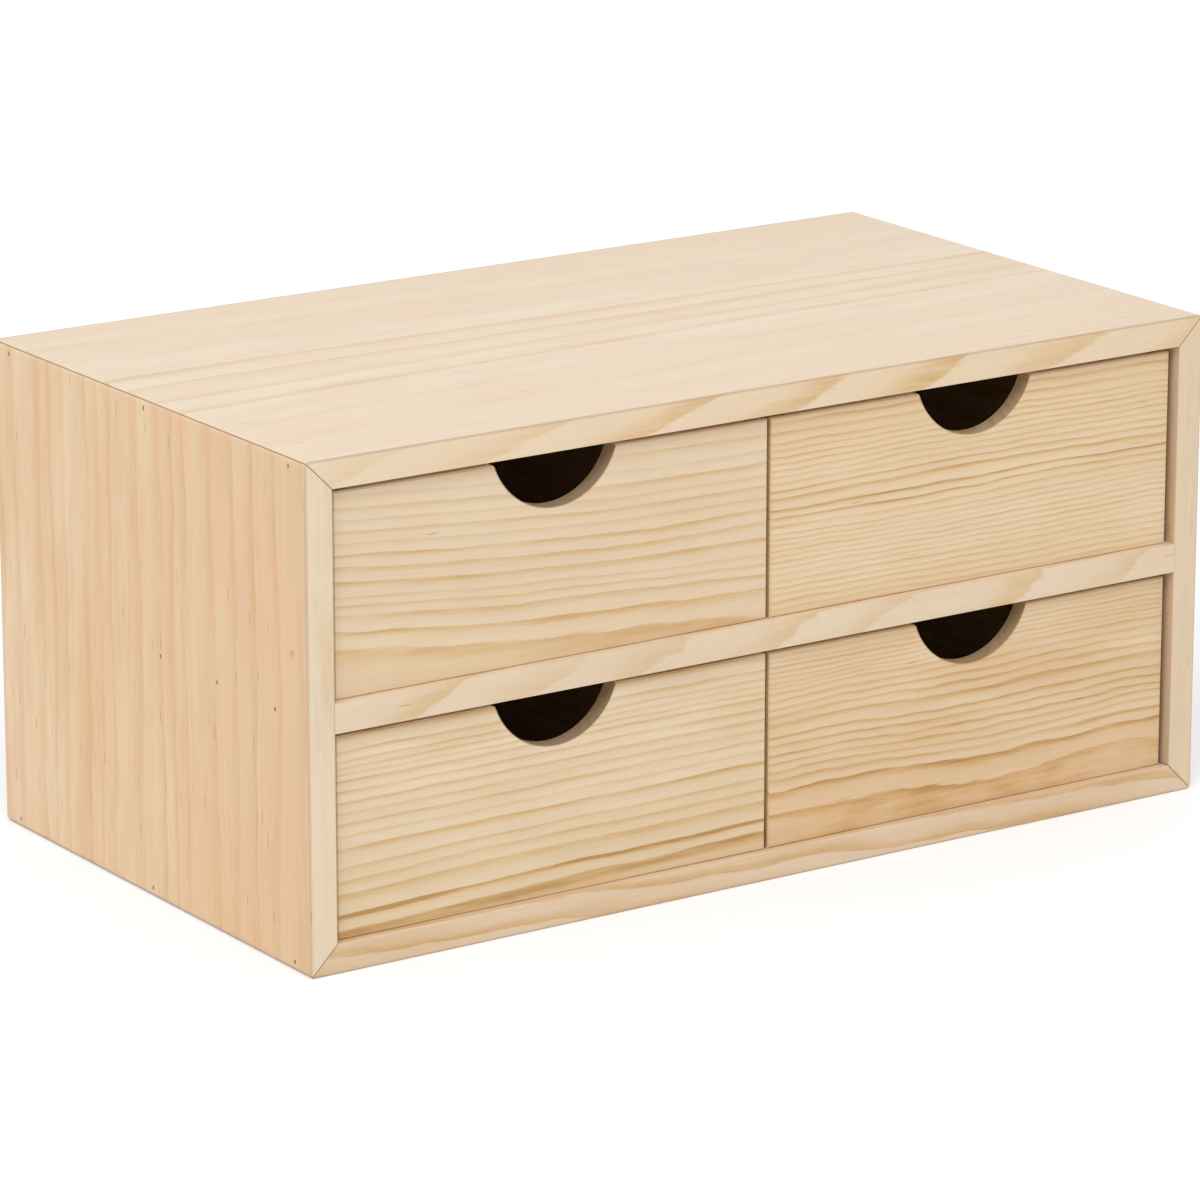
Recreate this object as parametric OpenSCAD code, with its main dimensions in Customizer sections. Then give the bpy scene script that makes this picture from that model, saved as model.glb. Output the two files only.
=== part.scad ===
// Desktop mini drawers: a mitred pine case that holds four small drawers, two by two.
// Millimetres, +Z up. X is the width, the drawers open towards -Y.
// The origin is the centre of the footprint, on the table that the case stands on.

/* [Case] */
// Width over the outside of the case
case_w = 360; // [260:5:480]
// Depth from the front edges to the back face
case_d = 200; // [140:5:300]
// Thickness of the four mitred boards
board_t = 10; // [8:0.5:14]
// Thickness of the middle shelf
shelf_t = 10; // [6:0.5:14]
// Clear height of each row of drawers
bay_h = 70; // [56:1:110]
// Radius on the long outer corners
corner_r = 2; // [1:0.25:3]

/* [Back and dividers] */
// Thickness of the plywood back
back_t = 3; // [2.5:0.5:6]
// Width of the rabbet that the back sits in, from the inner face of each board
rabbet_w = 5; // [4:0.5:6]
// Play around the edge of the back in its rabbet
back_play = 0.2; // [0.1:0.05:0.6]
// Thickness of the plywood dividers between left and right drawers
divider_t = 3; // [2.5:0.25:5]
// Depth of the grooves that house a divider above and below
housing_depth = 2; // [1:0.25:2.5]
// Gap between the back of a drawer front and a divider
divider_gap = 1; // [0.5:0.25:4]

/* [Drawer fit] */
// How far the drawer fronts stand behind the front edges of the case
recess = 3; // [1:0.5:8]
// Gap between a drawer front and the side of the case
end_gap = 1.9; // [1:0.1:3]
// Gap between the two drawer fronts of a row
mid_gap = 1.4; // [1:0.1:2]
// Gap above a drawer front
head_gap = 2; // [1:0.25:4]
// Running gap between a drawer's side and the divider
slide_gap = 0.6; // [0.5:0.05:1]
// Gap between a closed drawer and the back of the case
stop_gap = 0.3; // [0.2:0.1:1]

/* [Drawer front] */
// Thickness of the drawer fronts
front_t = 6; // [6:0.5:12]
// Wood left in front of the rabbets at both ends
lip_t = 2.5; // [2:0.25:3]
// Flat on the eased edges of the front face
front_arris = 0.5; // [0.3:0.1:1.5]
// Radius of the finger notch
notch_r = 24.5; // [19:0.5:30]
// Depth of the finger notch below the top edge
notch_depth = 17; // [10:0.5:18]
// Radius on the two upper corners of the notch
notch_corner_r = 1; // [0.5:0.25:3]

/* [Drawer box] */
// Thickness of the drawer sides
side_t = 6; // [5:0.5:9]
// Thickness of the drawer backs
rear_t = 6; // [5:0.5:9]
// How much lower than the front the sides and the back are
side_drop = 3; // [1:0.5:10]
// Thickness of the plywood drawer bottoms
bottom_t = 3; // [2:0.5:4]
// Height of the drawer bottom over the lower edges of the sides
bottom_lift = 4; // [3:0.5:8]
// Depth of the grooves that hold the drawer bottom
groove_depth = 2.5; // [1.5:0.25:3]
// Play between the edge of a drawer bottom and the floor of its groove
bottom_play = 0.2; // [0.1:0.05:0.6]

/* [Brads] */
// Length of the brads in the case
brad_len = 20; // [14:1:25]
// Length of the brads in the drawers and the back
pin_len = 15; // [12:1:18]
// Width of a brad's shank, along the strip it is made from
brad_w = 0.95; // [0.9:0.05:1.4]
// Thickness of a brad's shank
brad_t = 0.8; // [0.7:0.05:1.2]
// Length of a brad's head
head_w = 1.4; // [1.4:0.1:2.4]
// Thickness of a brad's head
head_t = 0.5; // [0.4:0.1:0.8]
// How far the heads are set below the wood
set_depth = 0.3; // [0.1:0.1:1]
// Distance of the corner brads from the top and bottom of the case
corner_brad_edge = 3.2; // [3:0.1:4]
// Distance of the first and last corner brads from the front and back
corner_brad_inset = 10; // [8:1:20]
// Distance of the first shelf brad from the front
shelf_brad_first = 20; // [10:1:30]
// Spacing of the shelf brads
shelf_brad_pitch = 36; // [15:1:40]
// Number of brads in each end of the shelf
shelf_brad_count = 3; // [2:1:3]
// Distance of the drawer brads from the lower and upper edges of the sides
pin_inset = 15; // [12:1:20]
// Distance of the back's outer brads from the sides of the case
back_pin_inset = 40; // [25:5:60]

/* [Hidden] */
ROWS = ["upper", "lower"];
SIDES = ["left", "right"];
CASE_PIECES = ["top_board", "bottom_board", "left_board", "right_board", "middle_shelf",
               "upper_divider", "lower_divider", "back_panel",
               "corner_brads", "shelf_brads", "back_panel_brads"];
DRAWER_PIECES = ["front", "left_side", "right_side", "back", "bottom", "brads"];

// Smoothness of the corner, notch and fillet arcs
$fn = 96;
// How far a cutter reaches past the surface it opens
cut_past = 1;

case_h = 2 * board_t + 2 * bay_h + shelf_t;
front_y = -case_d / 2;
rear_y = case_d / 2;
back_front_y = rear_y - back_t;
inner_w = case_w - 2 * board_t;
lower_floor_z = board_t;
shelf_z = lower_floor_z + bay_h;
upper_floor_z = shelf_z + shelf_t;

// Each drawer: its front, then the box behind it, which stands in at both ends to clear the divider
drawer_front_y = front_y + recess;
drawer_rear_y = back_front_y - stop_gap;
front_w = (inner_w - 2 * end_gap - mid_gap) / 2;
front_h = bay_h - head_gap;
drawer_x = (front_w + mid_gap) / 2;
overhang = divider_t / 2 + slide_gap - mid_gap / 2;
box_w = front_w - 2 * overhang;
box_inner_w = box_w - 2 * side_t;
side_h = front_h - side_drop;
bottom_top_z = bottom_lift + bottom_t;
divider_front_y = drawer_front_y + front_t + divider_gap;

// The notch's centre lies above the top edge; each fillet touches the notch and the top edge
notch_rise = notch_r - notch_depth;
fillet_z = front_h - notch_corner_r;
fillet_x = sqrt(pow(notch_r + notch_corner_r, 2) - pow(notch_rise + notch_corner_r, 2));

corner_brad_ys = [front_y + corner_brad_inset, 0, rear_y - corner_brad_inset];
shelf_brad_ys = [for (i = [0 : shelf_brad_count - 1]) front_y + shelf_brad_first + i * shelf_brad_pitch];
side_brad_zs = [lower_floor_z + bay_h / 2, upper_floor_z + bay_h / 2];
rabbet_brad_edge = board_t - rabbet_w / 2;

PALE_PINE = "#ecd6b4";
WARM_PINE = "#dfc092";
GOLD_PINE = "#e3c79c";
PLYWOOD = "#d9bd90";
STEEL = "#8d8a84";

// ---- Shared shapes ----

// An outline drawn in X and Z, as wide as it is, from one Y to another
module along_depth(from_y, to_y) {
    translate([0, to_y, 0]) rotate([90, 0, 0]) linear_extrude(to_y - from_y) children();
}

// A box that is centred on X
module centred_box(width, from_y, to_y, from_z, to_z) {
    translate([-width / 2, from_y, from_z]) cube([width, to_y - from_y, to_z - from_z]);
}

// A brad driven in from a surface at Z = 0, with its head up, or the hole that it leaves
module brad(length, hole = false) {
    head_top = hole ? cut_past : -set_depth;
    translate([-brad_w / 2, -brad_t / 2, -length]) cube([brad_w, brad_t, length - set_depth]);
    translate([-head_w / 2, -brad_w / 2, -set_depth - head_t])
        cube([head_w, brad_w, head_top + set_depth + head_t]);
}

module facing_side(side) {
    rotate([0, side * 90, 0]) children();
}

module facing_back() {
    rotate([-90, 0, 0]) children();
}

module facing_down() {
    rotate([180, 0, 0]) children();
}

// ---- Brads of the case ----

module corner_brad_set(hole = false) {
    for (side = [-1, 1]) for (z = [corner_brad_edge, case_h - corner_brad_edge]) for (y = corner_brad_ys)
        translate([side * case_w / 2, y, z]) facing_side(side) brad(brad_len, hole);
}

module shelf_brad_set(hole = false) {
    for (side = [-1, 1]) for (y = shelf_brad_ys)
        translate([side * case_w / 2, y, shelf_z + shelf_t / 2]) facing_side(side) brad(brad_len, hole);
}

module back_brad_set(hole = false) {
    outer_x = case_w / 2 - back_pin_inset;
    for (x = [-outer_x, -outer_x / 3, outer_x / 3, outer_x])
        for (z = [rabbet_brad_edge, case_h - rabbet_brad_edge])
            translate([x, rear_y, z]) facing_back() brad(pin_len, hole);
    for (side = [-1, 1]) for (z = side_brad_zs)
        translate([side * (case_w / 2 - rabbet_brad_edge), rear_y, z]) facing_back() brad(pin_len, hole);
    for (side = [-1, 1])
        translate([side * inner_w / 4, rear_y, shelf_z + shelf_t / 2]) facing_back() brad(pin_len, hole);
}

// ---- Case ----

// End view of the case as one solid bar with rounded corners
module case_outline() {
    translate([-case_w / 2 + corner_r, 0]) square([case_w - 2 * corner_r, case_h]);
    translate([-case_w / 2, corner_r]) square([case_w, case_h - 2 * corner_r]);
    for (side = [-1, 1]) for (z = [corner_r, case_h - corner_r])
        translate([side * (case_w / 2 - corner_r), z]) circle(corner_r);
}

// A board of the case: the part of the outline between two mitres, rabbeted for the back
module mitred_board(mitre_points) {
    difference() {
        along_depth(front_y, rear_y) intersection() {
            case_outline();
            polygon(mitre_points);
        }
        back_space();
        corner_brad_set(hole = true);
        back_brad_set(hole = true);
    }
}

// The rabbets together are one shallow box in the back of the case
module back_space() {
    reach = board_t - rabbet_w;
    centred_box(case_w - 2 * reach, back_front_y, rear_y + cut_past, reach, case_h - reach);
}

// The room that a divider takes up, with its grooves open at the back
module divider_space(floor_z) {
    centred_box(divider_t, divider_front_y, rear_y + cut_past,
                floor_z - housing_depth, floor_z + bay_h + housing_depth);
}

module top_board() {
    color(PALE_PINE) difference() {
        mitred_board([[-case_w / 2, case_h], [case_w / 2, case_h],
                      [inner_w / 2, case_h - board_t], [-inner_w / 2, case_h - board_t]]);
        divider_space(upper_floor_z);
    }
}

module bottom_board() {
    color(GOLD_PINE) difference() {
        mitred_board([[-case_w / 2, 0], [case_w / 2, 0], [inner_w / 2, board_t], [-inner_w / 2, board_t]]);
        divider_space(lower_floor_z);
    }
}

// One side of the case; -1 is the left one
module side_board(side) {
    color(WARM_PINE) difference() {
        mitred_board([[side * case_w / 2, 0], [side * case_w / 2, case_h],
                      [side * inner_w / 2, case_h - board_t], [side * inner_w / 2, board_t]]);
        shelf_brad_set(hole = true);
    }
}

module middle_shelf() {
    color(PALE_PINE) difference() {
        centred_box(inner_w, front_y, back_front_y, shelf_z, shelf_z + shelf_t);
        divider_space(lower_floor_z);
        divider_space(upper_floor_z);
        shelf_brad_set(hole = true);
        back_brad_set(hole = true);
    }
}

module divider(floor_z) {
    color(PLYWOOD) intersection() {
        divider_space(floor_z);
        centred_box(case_w, front_y, back_front_y, 0, case_h);
    }
}

module back_panel() {
    inset = board_t - rabbet_w + back_play;
    color(PLYWOOD) difference() {
        centred_box(case_w - 2 * inset, back_front_y, rear_y, inset, case_h - inset);
        back_brad_set(hole = true);
    }
}

module corner_brads() {
    color(STEEL) corner_brad_set();
}

module shelf_brads() {
    color(STEEL) shelf_brad_set();
}

module back_panel_brads() {
    color(STEEL) back_brad_set();
}

// ---- Drawer, drawn at the middle of its bay with the bay's floor at Z = 0 ----

module drawer_brad_set(hole = false) {
    front_joint_y = drawer_front_y + (lip_t + front_t) / 2;
    rear_joint_y = drawer_rear_y - rear_t / 2;
    for (side = [-1, 1]) for (y = [front_joint_y, rear_joint_y]) for (z = [pin_inset, side_h - pin_inset])
        translate([side * box_w / 2, y, z]) facing_side(side) brad(pin_len, hole);
    for (side = [-1, 1])
        translate([side * box_w / 4, rear_joint_y, bottom_lift]) facing_down() brad(pin_len, hole);
}

// Plan of the front: eased at both front corners, rabbeted behind for the sides
module front_plan() {
    end_x = front_w / 2;
    shoulder_x = box_inner_w / 2;
    polygon([[-end_x + front_arris, 0], [end_x - front_arris, 0], [end_x, front_arris],
             [end_x, lip_t], [shoulder_x, lip_t], [shoulder_x, front_t],
             [-shoulder_x, front_t], [-shoulder_x, lip_t], [-end_x, lip_t], [-end_x, front_arris]]);
}

// Section of the front, X being its depth: eased edges, and the groove for the bottom
module front_section() {
    groove_floor = front_t - groove_depth;
    polygon([[front_arris, 0], [front_t, 0], [front_t, bottom_lift], [groove_floor, bottom_lift],
             [groove_floor, bottom_top_z], [front_t, bottom_top_z], [front_t, front_h],
             [front_arris, front_h], [0, front_h - front_arris], [0, front_arris]]);
}

// The finger notch: part of a true circle, with its two upper corners rounded over
module notch_outline() {
    notch_z = front_h + notch_rise;
    translate([0, notch_z]) circle(notch_r);
    for (side = [-1, 1]) difference() {
        polygon([[0, notch_z], [side * fillet_x, fillet_z], [side * fillet_x, notch_z]]);
        translate([side * fillet_x, fillet_z]) circle(notch_corner_r);
    }
}

module drawer_front() {
    color(GOLD_PINE) difference() {
        intersection() {
            translate([0, drawer_front_y, 0]) linear_extrude(front_h) front_plan();
            translate([-front_w / 2, drawer_front_y, 0])
                rotate([90, 0, 90]) linear_extrude(front_w) front_section();
        }
        along_depth(drawer_front_y - cut_past, drawer_front_y + front_t + cut_past) notch_outline();
        drawer_brad_set(hole = true);
    }
}

// A drawer side, grooved for the bottom along its whole length; -1 is the left one
module drawer_side(side) {
    outer_x = side * box_w / 2;
    inner_x = side * box_inner_w / 2;
    groove_x = side * (box_inner_w / 2 + groove_depth);
    color(WARM_PINE) difference() {
        along_depth(drawer_front_y + lip_t, drawer_rear_y)
            polygon([[outer_x, 0], [outer_x, side_h], [inner_x, side_h], [inner_x, bottom_top_z],
                     [groove_x, bottom_top_z], [groove_x, bottom_lift], [inner_x, bottom_lift], [inner_x, 0]]);
        drawer_brad_set(hole = true);
    }
}

// The drawer back stands on the bottom, between the sides
module drawer_back() {
    color(WARM_PINE) difference() {
        centred_box(box_inner_w, drawer_rear_y - rear_t, drawer_rear_y, bottom_top_z, side_h);
        drawer_brad_set(hole = true);
    }
}

// The bottom slides into its grooves from behind, under the drawer back
module drawer_bottom() {
    width = box_inner_w + 2 * (groove_depth - bottom_play);
    color(PLYWOOD) difference() {
        centred_box(width, drawer_front_y + front_t - groove_depth + bottom_play, drawer_rear_y,
                    bottom_lift, bottom_top_z);
        drawer_brad_set(hole = true);
    }
}

module drawer_brads() {
    color(STEEL) drawer_brad_set();
}

// Moves a drawer's piece into its own bay
module in_bay(row, side) {
    bay_x = side == "left" ? -drawer_x : drawer_x;
    floor_z = row == "upper" ? upper_floor_z : lower_floor_z;
    translate([bay_x, 0, floor_z]) children();
}

top_board();
bottom_board();
side_board(-1);  // left_board
side_board(1);  // right_board
middle_shelf();
divider(upper_floor_z);  // upper_divider
divider(lower_floor_z);  // lower_divider
back_panel();
corner_brads();
shelf_brads();
back_panel_brads();

for (row = ROWS) for (side = SIDES) {
    drawer = str(row, "_", side, "_drawer_");
    in_bay(row, side) drawer_front();
    in_bay(row, side) drawer_side(-1);
    in_bay(row, side) drawer_side(1);
    in_bay(row, side) drawer_back();
    in_bay(row, side) drawer_bottom();
    in_bay(row, side) drawer_brads();
}
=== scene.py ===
# %% [markdown]
# # Desktop mini drawers in raw pine
#
# The real thing is a small chest for a desk: four pine boards mitred into a case, a shelf across
# the middle, and four drawers with a round finger notch in the top of each front. It is sanded
# and left bare, so everything the eye meets is wood: its rings, its fibres and its eased edges.
#
# The CAD model already has every board with its joints and real sizes. It is loaded first and
# stays where it is. This lesson gives each board soft edges and its own piece of pine.

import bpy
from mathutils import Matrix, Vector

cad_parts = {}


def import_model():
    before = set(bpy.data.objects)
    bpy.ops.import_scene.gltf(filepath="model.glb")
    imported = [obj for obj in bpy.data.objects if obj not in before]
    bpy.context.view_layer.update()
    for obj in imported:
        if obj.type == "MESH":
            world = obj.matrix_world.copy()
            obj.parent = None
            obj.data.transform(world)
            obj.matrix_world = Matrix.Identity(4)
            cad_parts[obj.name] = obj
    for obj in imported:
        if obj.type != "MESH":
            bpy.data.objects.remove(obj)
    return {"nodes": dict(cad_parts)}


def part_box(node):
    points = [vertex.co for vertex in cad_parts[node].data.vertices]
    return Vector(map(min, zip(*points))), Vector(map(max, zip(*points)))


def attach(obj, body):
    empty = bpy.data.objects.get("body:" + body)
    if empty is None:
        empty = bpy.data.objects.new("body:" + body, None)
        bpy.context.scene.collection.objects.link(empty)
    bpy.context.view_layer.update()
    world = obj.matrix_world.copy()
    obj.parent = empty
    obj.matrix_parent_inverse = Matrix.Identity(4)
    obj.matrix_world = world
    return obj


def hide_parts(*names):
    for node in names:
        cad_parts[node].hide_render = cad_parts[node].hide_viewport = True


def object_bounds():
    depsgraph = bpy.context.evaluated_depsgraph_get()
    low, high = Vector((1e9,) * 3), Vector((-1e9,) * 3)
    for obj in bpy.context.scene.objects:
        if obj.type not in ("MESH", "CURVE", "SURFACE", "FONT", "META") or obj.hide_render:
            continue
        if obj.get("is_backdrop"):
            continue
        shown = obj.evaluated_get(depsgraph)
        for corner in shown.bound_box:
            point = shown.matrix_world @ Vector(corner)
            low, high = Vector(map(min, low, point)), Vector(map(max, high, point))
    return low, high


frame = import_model()
cad_low, cad_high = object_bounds()
print("CAD box, mm:", [round(1000 * (high - low), 1) for low, high in zip(cad_low, cad_high)])

# %% Libraries and units
from math import degrees, radians

import bmesh
import bpy
from mathutils import Vector

MM = 0.001
print("Blender", bpy.app.version_string, "- one unit is a metre, so a millimetre is", MM)

# %% [markdown]
# ## The camera
#
# The photograph looks at the left front corner from a little above, through a long lens: the
# far end of the top is hardly narrower than the near end. Two ways to match such a view are to
# nudge the camera until it looks right, or to solve for it from the corners of the case, whose
# places in the CAD model are known. The second gives one answer for place, direction and lens
# together, so its numbers are used here.

# %% Camera
CAMERA_PLACE = Vector((-1.1496, -1.6971, 0.6559))
CAMERA_TURN = radians(34.08)
CAMERA_DIP = radians(15.86)
CAMERA_LENS = 186.1

camera = bpy.data.objects.new("camera", bpy.data.cameras.new("camera"))
camera.data.sensor_width = 36
camera.data.lens = CAMERA_LENS
camera.data.clip_end = 50
camera.location = CAMERA_PLACE
camera.rotation_euler = (radians(90) - CAMERA_DIP, 0, -CAMERA_TURN)
bpy.context.scene.collection.objects.link(camera)
bpy.context.scene.camera = camera
print("Camera distance, m:", round(CAMERA_PLACE.length, 2))

# %% [markdown]
# ## Colours and nodes
#
# Colours are written as they look on a screen, as hex values. Shaders reckon in linear light, so
# one function converts them. A second one adds a node, sets it and links it in one line, which
# keeps a long material readable from top to bottom.

# %% Helpers for colours and nodes
def linear(hex_colour, strength=1):
    """The linear RGBA of an sRGB hex colour"""
    channels = [int(hex_colour[start:start + 2], 16) / 255 for start in (1, 3, 5)]
    return [strength * (c / 12.92 if c <= 0.04045 else ((c + 0.055) / 1.055) ** 2.4)
            for c in channels] + [1]


def add(tree, kind, inputs=None, out=0, stops=None, **settings):
    """Add one node, set its properties, fill or link its inputs, and give one of its outputs"""
    node = tree.nodes.new(kind)
    for name, value in settings.items():
        setattr(node, name, value)
    for socket, value in (inputs or {}).items():
        if isinstance(value, bpy.types.NodeSocket):
            tree.links.new(value, node.inputs[socket])
        else:
            node.inputs[socket].default_value = value
    if stops:
        ramp = node.color_ramp
        while len(ramp.elements) < len(stops):
            ramp.elements.new(0.5)
        for element, (position, value) in zip(ramp.elements, stops):
            element.position = position
            element.color = value if isinstance(value, (list, tuple)) else (value, value, value, 1)
    return node.outputs[out] if node.outputs else None


def empty_material(name):
    """A new material whose node tree is bare"""
    material = bpy.data.materials.new(name)
    material.use_nodes = True
    material.node_tree.nodes.clear()
    return material


print("Mid grey #808080 in linear light:", round(linear("#808080")[0], 3))

# %% [markdown]
# ## Floor and light
#
# A product photograph like this is taken on white paper between large soft lamps. The lamps
# here are the sky, which is as bright from every side, and one big panel above the front that
# gives the faces a little difference. Together they light a surface about as much as a plain
# white sky would, so a colour renders as it is written.
#
# The paper has to look white to the camera without pouring more light on the wood. Light Path
# tells a material who is looking, and only the camera, a mirror or a glass sees the extra.

# %% Who is looking
DIRECT_RAYS = ("Is Camera Ray", "Is Glossy Ray", "Is Transmission Ray")


def seen_directly(tree):
    """1 for the camera, a mirror or a glass, and 0 for the light that goes on to the wood"""
    seen = 0
    for ray in DIRECT_RAYS:
        looks = add(tree, "ShaderNodeLightPath", out=ray)
        seen = add(tree, "ShaderNodeMath", {0: seen, 1: looks}, operation="MAXIMUM")
    return seen


print("Rays that see a whiter studio:", DIRECT_RAYS)

# %% [markdown]
# Matt white paper scatters light evenly and has no gloss. What the camera sees extra on it grows
# away from the chest, so the shadow stays, and is a little blue, against the yellow that bare wood
# throws on white paper.

# %% Floor
GLOW_FROM, GLOW_NEAR = 0.3, 0.2
GLOW_TO, GLOW_FAR = 1.6, 0.5

floor_paper = empty_material("matt_white_paper")
tree = floor_paper.node_tree
place = add(tree, "ShaderNodeTexCoord", out="Object")
away = add(tree, "ShaderNodeVectorMath", {0: place}, out="Value", operation="LENGTH")
glow = add(tree, "ShaderNodeMapRange", {"Value": away, "From Min": GLOW_FROM, "From Max": GLOW_TO,
                                        "To Min": GLOW_NEAR, "To Max": GLOW_FAR})
glow = add(tree, "ShaderNodeMath", {0: glow, 1: seen_directly(tree)}, operation="MULTIPLY")
paper = add(tree, "ShaderNodeBsdfPrincipled", {
    "Base Color": linear("#f2f2f2"), "Roughness": 0.9, "Specular IOR Level": 0.2,
    "Emission Color": linear("#dfe9ff"), "Emission Strength": glow})
add(tree, "ShaderNodeOutputMaterial", {"Surface": paper})
print("Paper:", floor_paper.name, "- extra for the camera, from near to far:", GLOW_NEAR, GLOW_FAR)

# %% Sheet of paper
FLOOR_RADIUS = 14

sheet = bmesh.new()
bmesh.ops.create_circle(sheet, cap_ends=True, segments=96, radius=FLOOR_RADIUS)
floor_mesh = bpy.data.meshes.new("floor")
sheet.to_mesh(floor_mesh)
sheet.free()
floor = bpy.data.objects.new("floor", floor_mesh)
floor.data.materials.append(floor_paper)
bpy.context.scene.collection.objects.link(floor)
floor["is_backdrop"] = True
print("Floor:", floor_paper.name, "-", 2 * FLOOR_RADIUS, "m across")

# %% Sky
SKY_LEVEL = 0.73

world = bpy.data.worlds.new("white_studio")
bpy.context.scene.world = world
world.use_nodes = True
tree = world.node_tree
tree.nodes.clear()
level = add(tree, "ShaderNodeMapRange", {"Value": seen_directly(tree), "To Min": SKY_LEVEL,
                                         "To Max": 1.0})
sky = add(tree, "ShaderNodeBackground", {"Color": (1, 1, 1, 1), "Strength": level})
add(tree, "ShaderNodeOutputWorld", {"Surface": sky})
print("Light of the sky on the wood:", SKY_LEVEL)

# %% Lamp
LAMP_PLACE = Vector((-1.4, -1.6, 2.6))
LAMP_AIM = Vector((0, 0, 0.08))
LAMP_WIDTH = 1.8
LAMP_WATTS = 44

lamp = bpy.data.objects.new("soft_panel", bpy.data.lights.new("soft_panel", "AREA"))
lamp.data.size = LAMP_WIDTH
lamp.data.energy = LAMP_WATTS
lamp.location = LAMP_PLACE
lamp.rotation_euler = (LAMP_AIM - LAMP_PLACE).to_track_quat("-Z", "Y").to_euler()
bpy.context.scene.collection.objects.link(lamp)
bpy.context.scene.view_settings.view_transform = "Standard"
print("Lamp distance, m:", round((LAMP_PLACE - LAMP_AIM).length, 2), "- width:", LAMP_WIDTH)

# %% [markdown]
# ## Pine
#
# A pine log is a stack of yearly cones. Each year starts with wide pale cells and ends with
# narrow dense ones, so a ring goes from cream to tan slowly and back to cream at once. A board is
# a flat cut through that stack. Where the cut runs across the rings they are close, straight
# lines, and where it runs along them they open into broad arches.
#
# One could paint lines on each face, but then the face and the edge of a board don't belong
# together. Here each board is given its place in a log instead: a point on the pith, the log's
# centre line, and the way the log is turned. The distance from the pith is the age of the wood,
# on every face and down every hole, and the arches come by themselves.

# %% Place in the log
ALONG_X = (0, 0, 0)
ALONG_Y = (0, 0, radians(90))
ALONG_Z = (0, radians(-90), 0)


def in_the_log(tree, pith, turn):
    """Where a point of the board lies in its log, in mm: X runs along the pith"""
    place = add(tree, "ShaderNodeTexCoord", out="Object")
    return add(tree, "ShaderNodeMapping", {
        "Vector": place, "Location": [MM * value for value in pith], "Rotation": turn,
        "Scale": (MM, MM, MM)}, vector_type="TEXTURE")


print("Turns of the grain, degrees:",
      [[round(degrees(angle)) for angle in turn] for turn in (ALONG_X, ALONG_Y, ALONG_Z)])

# %% [markdown]
# A log is never a true cone. It swells, it bends like a bow, and it leans to and fro over a
# hand's breadth. Each of these is a small push of the point before its distance from the pith
# is taken. The waves are a noise drawn out along the grain, and each finer wave is half as long as
# the one before.

# %% Waves along the grain
FINER_WAVES = 3
WAVE_ROUGHNESS = 0.6
SEED_STEP = (7.3, 3.1, 5.7)


def wander(tree, log, length, width, reach, seed):
    """Push a point across the grain, by up to reach in Y and Z; length and width are the waves'"""
    waves = add(tree, "ShaderNodeVectorMath", {0: log, 1: (1 / length, 1 / width, 1 / width)},
                operation="MULTIPLY")
    waves = add(tree, "ShaderNodeVectorMath", {0: waves, 1: [seed * step for step in SEED_STEP]},
                operation="ADD")
    push = add(tree, "ShaderNodeTexNoise", {
        "Vector": waves, "Scale": 1.0, "Detail": FINER_WAVES, "Roughness": WAVE_ROUGHNESS},
        out="Color", normalize=False)
    return add(tree, "ShaderNodeVectorMath", {0: push, 1: (0, *reach), 2: log},
               operation="MULTIPLY_ADD")


def streaks(tree, log, length, width, detail, seed):
    """Noise drawn out along the grain, from 0 to 1"""
    place = add(tree, "ShaderNodeVectorMath", {0: log, 1: (1 / length, 1 / width, 1 / width)},
                operation="MULTIPLY")
    place = add(tree, "ShaderNodeVectorMath", {0: place, 1: (seed, seed, seed)}, operation="ADD")
    return add(tree, "ShaderNodeTexNoise", {"Vector": place, "Scale": 1.0, "Detail": detail,
                                            "Roughness": WAVE_ROUGHNESS})


print("Waves in a bend of 100 mm:", [100 / 2 ** finer for finer in range(FINER_WAVES + 1)])

# %% Bow and flare
def bow(tree, log, middle, rise):
    """Bend the log like a bow: its ends rise in Z by so many mm, a hundred mm from the middle"""
    along = add(tree, "ShaderNodeSeparateXYZ", {0: log})
    along = add(tree, "ShaderNodeMath", {0: along, 1: middle}, operation="SUBTRACT")
    square = add(tree, "ShaderNodeMath", {0: along, 1: along}, operation="MULTIPLY")
    drop = add(tree, "ShaderNodeMath", {0: square, 1: -rise / 100 ** 2}, operation="MULTIPLY")
    return add(tree, "ShaderNodeVectorMath",
               {0: log, 1: add(tree, "ShaderNodeCombineXYZ", {"Z": drop})}, operation="ADD")


def flare(tree, log, share):
    """Let the rings draw together in Y along the log, by a share for every hundred mm"""
    along = add(tree, "ShaderNodeSeparateXYZ", {0: log})
    spread = add(tree, "ShaderNodeMath", {0: along, 1: share / 100, 2: 1},
                 operation="MULTIPLY_ADD")
    spread = add(tree, "ShaderNodeCombineXYZ", {"X": 1, "Y": spread, "Z": 1})
    return add(tree, "ShaderNodeVectorMath", {0: log, 1: spread}, operation="MULTIPLY")


print("Ways to shape a log:", [shape.__name__ for shape in (bow, flare, wander)])

# %% [markdown]
# ### Rings
#
# Years aren't equally wide, and some end darker than others. So each log has a short growth
# record, pairs of a distance from the pith in mm and the number of years grown by then, and a
# second one for how dark those years end. Colour ramps serve as both records, and a third ramp
# holds the seasons of one year: it darkens slowly and drops back at once. Fibres fray the line of
# a ring by less than half a millimetre, and each year has its own luck.

# %% Rings
SEASONS = ((0.0, 0.0), (0.3, 0.04), (0.55, 0.2), (0.78, 0.8), (0.93, 1.0), (0.99, 0.0))
LUCK = (0.6, 1.1)
FRAY = 0.4
FRAY_SIZE = (26, 1.3)


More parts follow.
